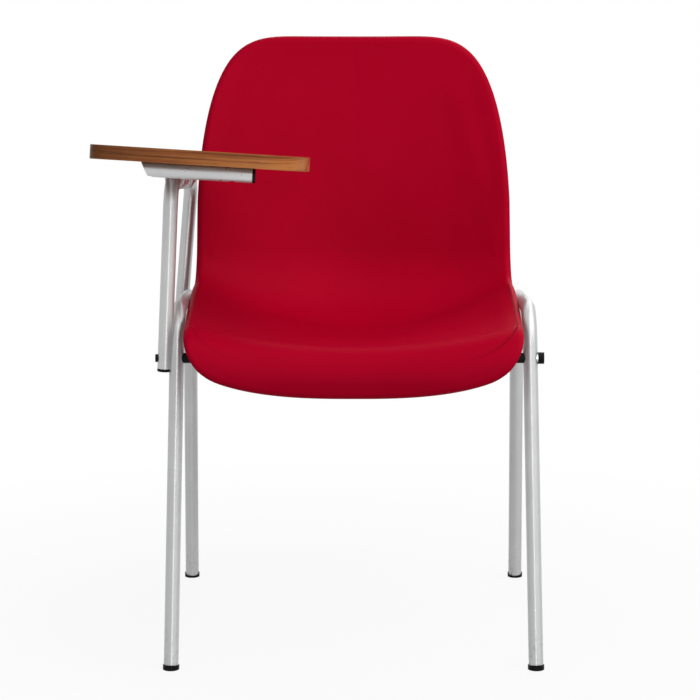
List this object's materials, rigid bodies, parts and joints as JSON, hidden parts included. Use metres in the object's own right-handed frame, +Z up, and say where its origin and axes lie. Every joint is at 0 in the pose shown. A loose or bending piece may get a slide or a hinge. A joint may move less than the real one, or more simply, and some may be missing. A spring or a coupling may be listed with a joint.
{
  "type": "tablet arm conference chair",
  "caption": "Upholstered bucket chair on a bent tube frame with a writing tablet that folds up beside the arm.",
  "frame": {"origin": "floor point in the middle of the four feet", "axes": "+Z up, the sitter faces -Y, +X to the side without the tablet"},
  "size_m": [0.6108, 0.5081, 0.8324],
  "materials": {
    "red_cover": "satin",
    "frame_paint": "satin",
    "black_plastic": "matte",
    "zinc_steel": "satin",
    "black_steel": "satin",
    "bush_nylon": "matte",
    "shell_plastic": "matte",
    "tablet_wood": "satin",
    "tablet_band": "satin"
  },
  "bodies": {
    "chair": {"arm_bolt_front": "black_steel", "arm_bolt_rear": "black_steel", "arm_plug_front": "black_plastic", "arm_plug_rear": "black_plastic", "bolt_cap_front": "black_plastic", "bolt_cap_rear": "black_plastic", "foot_glide_front_left": "black_plastic", "foot_glide_front_right": "black_plastic", "foot_glide_rear_left": "black_plastic", "foot_glide_rear_right": "black_plastic", "frame_bolt_front": "zinc_steel", "frame_bolt_rear": "zinc_steel", "frame_spacer_front_left": "black_plastic", "frame_spacer_front_right": "black_plastic", "frame_spacer_rear_left": "black_plastic", "frame_spacer_rear_right": "black_plastic", "front_cross_tube": "frame_paint", "rear_cover": "red_cover", "rear_cross_tube": "frame_paint", "saddle_block_front_left": "black_plastic", "saddle_block_front_right": "black_plastic", "saddle_block_rear_left": "black_plastic", "saddle_block_rear_right": "black_plastic", "seat_back_pad": "red_cover", "seat_shell": "shell_plastic", "set_screw_front": "black_steel", "set_screw_rear": "black_steel", "shell_screw_front_left": "zinc_steel", "shell_screw_front_right": "zinc_steel", "shell_screw_rear_left": "zinc_steel", "shell_screw_rear_right": "zinc_steel", "side_frame_left": "frame_paint", "side_frame_right": "frame_paint", "stop_collar_front": "frame_paint", "stop_collar_rear": "frame_paint", "tablet_arm": "frame_paint", "tee_nut_front_left": "zinc_steel", "tee_nut_front_right": "zinc_steel", "tee_nut_rear_left": "zinc_steel", "tee_nut_rear_right": "zinc_steel", "tube_insert_front_left": "zinc_steel", "tube_insert_front_right": "zinc_steel", "tube_insert_rear_left": "zinc_steel", "tube_insert_rear_right": "zinc_steel"},
    "tablet": {"bar_plug_front": "black_plastic", "bar_plug_rear": "black_plastic", "hinge_bush_front": "bush_nylon", "hinge_bush_rear": "bush_nylon", "hinge_sleeve_front": "frame_paint", "hinge_sleeve_rear": "frame_paint", "tablet_bar_front": "frame_paint", "tablet_bar_rear": "frame_paint", "tablet_board": "tablet_wood", "tablet_edge_band": "tablet_band", "wood_screw_front_inner": "zinc_steel", "wood_screw_front_outer": "zinc_steel", "wood_screw_rear_inner": "zinc_steel", "wood_screw_rear_outer": "zinc_steel"}
  },
  "joints": [
    {"name": "tablet_fold", "type": "hinge", "parent": "chair", "child": "tablet", "pos_m": [-0.24406, -0.105, 0.658], "axis": [-0.0173, -0.9934, 0.1132], "range_deg": [0, 95]}
  ]
}
